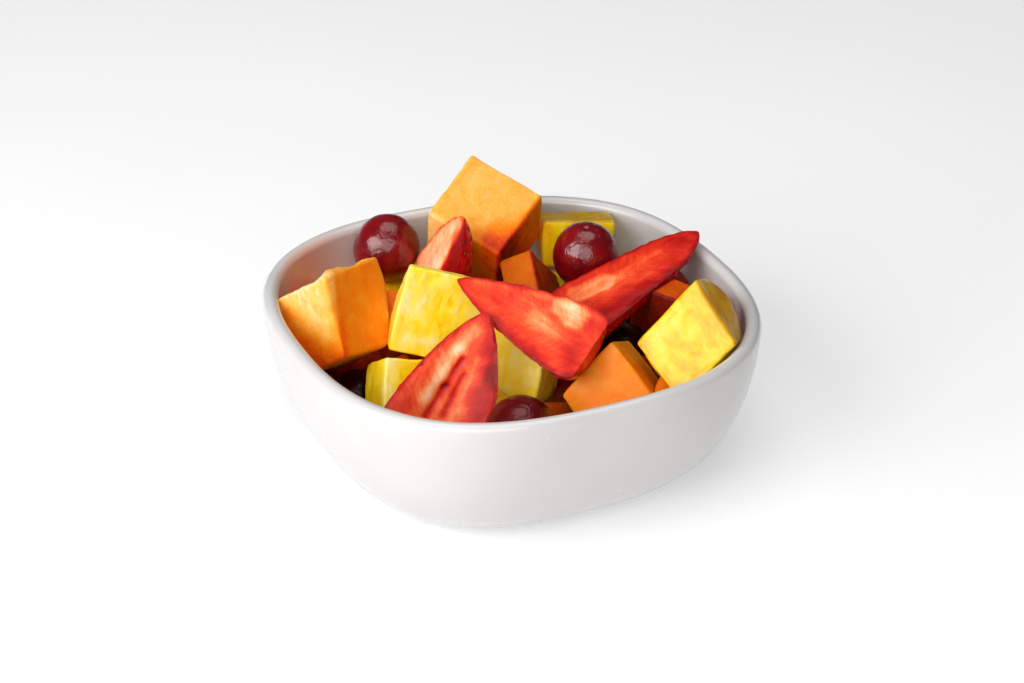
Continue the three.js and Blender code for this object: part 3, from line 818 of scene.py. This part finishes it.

# What each piece has of its own: its even tone, and its painted shade; washes of tone and of painted shadow
# (the way on the unit block, where it starts and is full, and the amount); and marks of tone, grooves and
# bumps in its own axes (start, end, width, amount, and True where it is crisp). Some washes and marks of
# tone are painted shade or light, as noted.
LOOKS = {
    "melon_left": {
        "tone": 0.62, "fibrous": 1.0,
        "washes": (((-4, 0, 0), 3.4, 3.9, -0.14), ((-4, -0.55, 0.6), 3.65, 4.35, 0.40),
                   # The wash to a deeper tone towards (-4, 0.3, -0.8), at the lower left, is painted shade.
                   ((-4, 0.3, -0.8), 4.1, 4.9, -0.14), ((-1, -1, 0), 1.45, 1.95, -0.16),
                   ((0, -4, 0), 3.5, 3.9, -0.07), ((0, 0, 6), 5.3, 5.9, 0.10)),
        "bumps": (((-6, -9, 12), (0, -8, 12.8), 2.4, 1.5), ((9, -9, 13), (11, -9.5, 13.2), 1.6, 0.7))},
    "melon_top": {
        "tone": 0.74,
        # The first two washes are painted shade on the low corner and the -y face; the third is painted
        # light on the -x face.
        "washes": (((-0.6, -0.8, 0), 0.35, 1.25, -0.48), ((0, -6, 0), 5.2, 5.9, -0.24),
                   ((-6, 0, 0), 5.2, 5.9, 0.12))},
    # The shade and the darker -y face are painted shade.
    "melon_middle": {"tone": 0.46, "shade": 0.46, "washes": (((0, -6, 0), 5.0, 5.9, -0.25),)},
    # The shade, and the lower tone and shadow on the -x and -y faces, are painted shade.
    "melon_right": {
        "tone": 0.36, "shade": 0.35,
        "washes": (((0, -6, 0), 5.0, 5.9, -0.35), ((-6, 0, 0), 5.0, 5.9, -0.35)),
        "shadows": (((-6, 0, 0), 5.0, 5.9, 0.3),)},
    "melon_front": {"tone": 0.59, "shade": 0.2},
    "pineapple_centre": {
        "tone": 0.70, "creased": 0.4,
        "marks": (((-12, -4, 10), (-9, -4, 0), 3, 0.2), ((-7, -4, -9), (-1, -4, -8), 2, 0.2),
                  ((1.8, -4, 5.9), (2.6, -4, 4.6), 0.8, -0.4))},
    "pineapple_right": {
        # The shade, and the +x side's lower tone and shadow, are painted shade.
        "tone": 0.45, "shade": 0.16, "creased": 0.8, "washes": (((6, 0, 0), 5.2, 5.9, -0.1),),
        "marks": (((11, -6, 5.6), (8, -6.5, -0.5), 2.6, -0.05),
                  ((8, -6.5, -0.5), (-5, -7, -5.8), 3.2, -0.05), ((3, -5.5, 7), (-1, -5.5, 6.5), 2.6, 0.22),
                  ((-7, -5.7, 6), (-8, -5.7, 2), 2.4, 0.16), ((4, -6.4, 1), (0, -6.4, 1.5), 1.6, 0.22)),
        "shadows": (((6, 0, 0), 5.2, 5.9, 0.35),)},
    # The paler wash along the rounded -x -y edge is a painted highlight.
    "pineapple_left": {"tone": 0.56, "washes": (((-1, -1, 0), 1.4, 1.9, 0.32),)},
    # The +x side's lower tone is painted shade.
    "pineapple_front": {"tone": 0.72, "washes": (((6, 0, 0), 5.2, 5.9, -0.08),)},
    "pineapple_back": {"tone": 0.44, "shadows": (((0, 0, 6), 5.2, 5.9, 0.55),)},
    # The shade on these grapes is painted shade: darker, and with less coat.
    "grape_dark_left": {"tone": 0.3, "shade": 0.85},
    "grape_dark_right": {"tone": 0.3, "shade": 0.85},
    "grape_front": {"tone": 0.45, "shade": 0.45},
    "strawberry_wedge": {"tone": 0.80, "washes": (((1, 0, 0), 0.02, 0.26, -0.85),)},
    "strawberry_centre": {
        "tone": 0.42,
        "marks": (((8.4, 0, -9.5), (6, 0, -13.5), 4.1, 0.34, True), ((9, 0, -9), (7.5, 0, -13), 2.4, 0.14),
                  ((2.2, 0, 17.5), (4.8, 0, 8.5), 1.5, 0.16), ((6.6, 0, 2), (8.4, 0, -4), 1.7, 0.18),
                  ((-1.7, 0, -10), (2, 0, -4), 2.8, 0.15), ((-3, 0, -19), (-10.5, 0, -21.5), 3.0, -0.22),
                  ((-5, 0, 9), (-11.5, 0, -17), 1.4, -0.18))},
    "strawberry_front": {
        "tone": 0.52,
        # The dark marks along the grooves' lines, of -0.32 to -0.36, are painted shade in the grooves.
        "marks": (((-3.6, 0, 10.3), (-6.4, 0, -5.7), 2.1, 0.30), ((2, 0, 21), (8.4, 0, 7), 2.6, -0.28),
                  ((8.4, 0, 7), (9.5, 0, -10), 3.6, -0.34), ((-1.2, 0, 8.1), (-2.7, 0, -1), 0.9, -0.36),
                  ((-2.7, 0, -1), (-4.3, 0, -11), 1.0, -0.36), ((0.6, 0, 3.9), (0, 0, -9), 0.9, -0.32),
                  ((2.6, 0, 10), (3.4, 0, -6), 0.9, 0.16), ((-0.6, 0, 18), (-3.6, 0, 11), 2.2, 0.18)),
        "grooves": (((-1.2, 0, 8.1), (-2.7, 0, -1), 0.8, 0.55), ((-2.7, 0, -1), (-4.3, 0, -11), 0.9, 0.7),
                    ((0.6, 0, 3.9), (0, 0, -9), 0.8, 0.5))},
    "strawberry_right": {
        "tone": 0.36,
        "marks": (((0, 0, 25), (0, 0, 19), 5, -0.12), ((8, 0, -18), (10, 0, 8), 3.6, -0.26),
                  ((-5, 0, -18), (-3.6, 0, -8.6), 3.8, 0.26, True), ((-3, 0, -4), (-1, 0, 12), 2.0, 0.12))},
}


# ---- making the pieces ----
def strawberry_seeds(spec, name):
    """Makes a strawberry's seeds, and gives where they are in its own axes."""
    sites, ways = seed_sites(spec)
    basis = placement(spec)[0]
    out = turned(ways @ basis, HEAP_TURN)
    tip = turned(np.tile([0.0, 0.0, 1.0], (len(sites), 1)) @ basis, HEAP_TURN)
    middles = placed(sites - ways * (DIMPLE_DEPTH - SEED_SINK), spec)
    points, quads = seed_mesh(list(zip(middles, out, tip)))
    piece = make_piece(name, points, quads, [SEED_MATERIAL])
    return sites


def chunk_height(spec, points, values):
    seed = spec["seed"]
    height = RELIEFS[spec["kind"]](spec, points, seed)
    height += marked(points, spec.get("bumps", ()), seed) * (1 + 0.35 * rough(points, 1.8, seed + 21, 2))
    if spec["kind"] == "melon":
        height += 0.30 * values["fibres"] * rough(points, 2.2, seed + 20, 2)
    return height


def make_fruit(name, spec):
    kind, seed = spec["kind"], seed_of(spec)
    spec = {"seed": seed, **spec, **LOOKS.get(name, {})}
    points, quads, unit = SHAPES[kind](spec)
    values = {"local": points, **VALUES[kind](spec, points, unit, seed)}
    if kind == "strawberry":
        sites = strawberry_seeds(spec, name + "_seeds")
        height = strawberry_relief(spec, points, values)
        height -= DIMPLE_DEPTH * dimples(points, sites) * values["skin"]
    elif kind != "grape":
        height = chunk_height(spec, points, values)
    if kind != "grape":
        points = raised(points, quads, height)
    piece = make_piece(name + "_flesh", placed(points, spec), quads, [MATERIALS[kind]], values)
    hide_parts(name)


# ---- the lower fruit: the solid's own form, smoothed and dressed as the fruit fused in it ----
REMESH = 0.8
SNAP = 0.8  # a point this near a fused piece's true surface moves onto it
LUMP_ROUND = 2.0
LUMP_SEED = 31


def remeshed(node, size):
    """A node's form as an even mesh of points and quads, in millimetres."""
    copy = new_object("remesh", node.data.copy())
    remesh = copy.modifiers.new("even", "REMESH")
    remesh.mode = "VOXEL"
    remesh.voxel_size = size * MM
    smooth = copy.modifiers.new("soften", "SMOOTH")
    smooth.iterations = 3
    smooth.factor = 0.5
    bpy.context.view_layer.update()
    evaluated = copy.evaluated_get(bpy.context.evaluated_depsgraph_get())
    mesh = bpy.data.meshes.new_from_object(evaluated)
    points = np.zeros(len(mesh.vertices) * 3)
    mesh.vertices.foreach_get("co", points)
    corners = [list(p.vertices) for p in mesh.polygons]
    quads = np.array([c if len(c) == 4 else c + [c[2]] for c in corners])
    bpy.data.objects.remove(copy)
    bpy.data.meshes.remove(mesh)
    return points.reshape(-1, 3) / MM, quads


# Each of these three says how far each point is outside a fused piece (less than 0 inside), and the nearest
# place on it.
def outside_grape(lump, points):
    half = np.array(lump["size"], float) / 2
    reach = lengths(points / half)
    return (reach - 1) * half.min(), points / np.maximum(reach, 1e-6)[:, None]


def outside_strawberry(lump, points):
    width, thick, length = lump["size"]
    half = strawberry_outline(np.clip(points[:, 2] / length + 0.5, 0.02, 0.98), lump)
    tall = np.where(points[:, 1] > 0, 2 * thick, CUT_BULGE)
    reach = np.hypot(points[:, 0] / width, points[:, 1] / tall) / np.maximum(half, 1e-3)
    past = np.maximum(np.abs(points[:, 2]) - length / 2, 0)
    near = points / np.maximum(reach, 1e-6)[:, None]
    near[:, 2] = points[:, 2]
    flat = np.where(points[:, 1] > 0, thick, CUT_BULGE)
    return (reach - 1) * half * np.minimum(width, flat) + past, near


def outside_chunk(lump, points):
    half = np.array(lump["size"], float) / 2
    bow = np.clip(points[:, 0] / half[0] * 1.6, -1, 1) * CHUNK_BOW * (1 - (points[:, 2] / half[2]) ** 2)
    straight = points - np.column_stack([bow, np.zeros((len(points), 2))])
    over = np.abs(straight) - (half - LUMP_ROUND)
    outside, most = np.maximum(over, 0), over.max(1)
    distance = lengths(outside) + np.minimum(most, 0) - LUMP_ROUND
    way = np.where(most[:, None] > 0, outside, over == most[:, None]) * np.sign(straight)
    way = way / np.maximum(lengths(way), 1e-9)[:, None]
    return distance, points - way * distance[:, None]


OUTSIDES = {"melon": outside_chunk, "pineapple": outside_chunk, "strawberry": outside_strawberry,
            "grape": outside_grape}


def fused_fruit(points):
    """Each point's nearest fused piece, how far outside it the point is, the point in the piece's own axes,
    and the points with those near the piece's true surface moved onto it."""
    nearest, owner = np.full(len(points), np.inf), np.zeros(len(points), int)
    local, snapped = np.zeros((len(points), 3)), points.copy()
    for number, lump in enumerate(LUMPS):
        own = own_axes(points, lump)
        distance, surface = OUTSIDES[lump["kind"]](lump, own)
        closer = distance < nearest
        nearest[closer], owner[closer], local[closer] = distance[closer], number, own[closer]
        snap = closer & (np.abs(distance) < SNAP)
        snapped[closer] = points[closer]
        snapped[snap] = placed(surface[snap], lump)
    return owner, nearest, local, snapped


def dress_lump(lump, mine, values, height):
    """Fills in the materials' values and the relief of one fused piece."""
    kind, own, seed = lump["kind"], values["local"][mine], lump["seed"]
    unit = own / (np.array(lump["size"], float) / 2)
    if kind == "strawberry":
        width, thick, length = lump["size"]
        unit = np.column_stack([2 * own[:, 0] / width, own[:, 1] / thick,
                                np.clip(own[:, 2] / length + 0.5, 0, 1), np.zeros(len(own))])
    if kind in RELIEFS:
        height[mine] = RELIEFS[kind](lump, own, seed)
    for key, value in VALUES[kind](lump, own, unit, seed).items():
        values[key][mine] = value


def make_lower_fruit():
    points, quads = remeshed(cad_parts["lower_fruit"], REMESH)
    owner, nearest, local, points = fused_fruit(points)
    height = np.zeros(len(points))
    values = {"local": local, "grain": local.copy()}
    for key in ("tone", "shade", "fibres", "skin", "edge"):
        values[key] = np.zeros(len(points))
    for number, lump in enumerate(LUMPS):
        mine = owner == number
        if mine.any():
            dress_lump({"seed": LUMP_SEED + number, **lump}, mine, values, height)
    low = ease(2.0, 6.0, nearest)
    height += low * 0.9 * rough(points, 5, 77, 2)
    # Lower tone between the fused pieces and towards the bottom, and more shade towards the bottom: painted
    # shade.
    deep = ease(27, 15, points[:, 2])
    values["tone"] -= 0.3 * low + 0.3 * deep
    values["shade"] += 0.5 * deep
    points = raised(points, quads, height)
    kinds = list(MATERIALS)
    kind_of = np.array([kinds.index(lump["kind"]) for lump in LUMPS])[owner]
    piece = make_piece("lower_fruit_flesh", points, quads, [MATERIALS[kind] for kind in kinds], values,
                       kind_of[quads[:, 0]])
    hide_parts("lower_fruit")


PAINTED_BOUNCE_AT = (-59, 26, 35)  # where painted orange bounce light from the melon tints the glaze, on the heap's axes
PAINTED_BOUNCE_REACH = 18


def make_bowl():
    points, quads = bowl_shape()
    away = lengths(points - turned(np.array([PAINTED_BOUNCE_AT]), HEAP_TURN)) / PAINTED_BOUNCE_REACH
    from_axis = lengths(points[:, :2]).clip(1)
    outward = (corner_normals(points, quads) * points)[:, :2].sum(1) / from_axis
    # Painted bounce light: orange on the inward faces of the wall near the melon.
    painted_bounce = 0.62 * np.exp(-away ** 2) * ease(0.0, -0.5, outward) * (1 + 0.3 * noise(points, 7, 5))
    piece = make_piece("bowl_body", points, quads, [glaze_material()], {"painted_bounce": painted_bounce})
    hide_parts("bowl")


make_bowl()
make_lower_fruit()
for piece_name, piece_spec in PIECES.items():
    make_fruit(piece_name, piece_spec)


# ---- the stage ----
CAMERA_TILT = math.radians(30)
CAMERA_MIDDLE = (0, 0, 30)  # what the camera stands away from, on the heap's axes
CAMERA_AWAY = 700
CAMERA_LENS = 82.2
AIM = (0.6, 0, 32.1)  # what the camera looks at, on the heap's axes
LIT_MIDDLE = (0, 0, 35)  # what the lights point at
FLOOR_REACH = 3.0  # metres
FLOOR_GLOW = 0.39  # the photo's ground is white


def heap_to_part(point):
    """From millimetres on the heap's axes to metres in the part's frame."""
    return Vector(turned(np.array([point], float), HEAP_TURN)[0] * MM)


def make_floor():
    mesh = bpy.data.meshes.new("floor")
    corners = [(x * FLOOR_REACH, y * FLOOR_REACH, 0) for x, y in ((-1, -1), (1, -1), (1, 1), (-1, 1))]
    mesh.from_pydata(corners, [], [(0, 1, 2, 3)])
    floor = new_object("floor", mesh)
    material, tree = new_material("floor")
    place = object_place(tree)
    colour = ramp(tree, noise_at(tree, place, 0.2), ((0.3, (202, 202, 202)), (0.7, (206, 206, 206))))
    finish_material(tree, {"Base Color": colour, "Roughness": 0.9,
                           "Emission Color": linear(255, 255, 255), "Emission Strength": FLOOR_GLOW})
    mesh.materials.append(material)


def make_light(name, from_way, away, size, watts):
    """A soft round light, its way given on the heap's axes and its width in metres."""
    light = bpy.data.lights.new(name, "AREA")
    light.shape = "DISK"
    light.size = size
    light.energy = watts
    lamp = new_object(name, light)
    way = heap_to_part(from_way).normalized()
    lamp.location = Vector(LIT_MIDDLE) * MM + way * away
    lamp.rotation_euler = way.to_track_quat("Z", "Y").to_euler()


def make_camera():
    camera = bpy.data.cameras.new("camera")
    camera.lens = CAMERA_LENS
    camera.clip_start = 0.01
    holder = new_object("camera", camera)
    back = np.array([0, -math.cos(CAMERA_TILT), math.sin(CAMERA_TILT)])
    holder.location = heap_to_part(CAMERA_MIDDLE + back * CAMERA_AWAY)
    look = heap_to_part(AIM) - holder.location
    holder.rotation_euler = look.to_track_quat("-Z", "Y").to_euler()
    bpy.context.scene.camera = holder


def make_world():
    world = bpy.data.worlds.new("studio")
    world.use_nodes = True
    background = world.node_tree.nodes["Background"]
    background.inputs["Color"].default_value = (1.0, 1.0, 1.0, 1.0)
    background.inputs["Strength"].default_value = 0.05
    bpy.context.scene.world = world


make_floor()
make_light("key", (-0.72, -0.54, 0.50), 0.95, 0.8, 8.8)
make_light("front", (-0.06, -0.86, 0.58), 1.1, 1.0, 6.6)
make_light("overhead", (0.05, 0.10, 1.0), 1.1, 1.0, 5.2)
make_camera()
make_world()
bpy.context.scene.view_settings.view_transform = "Standard"
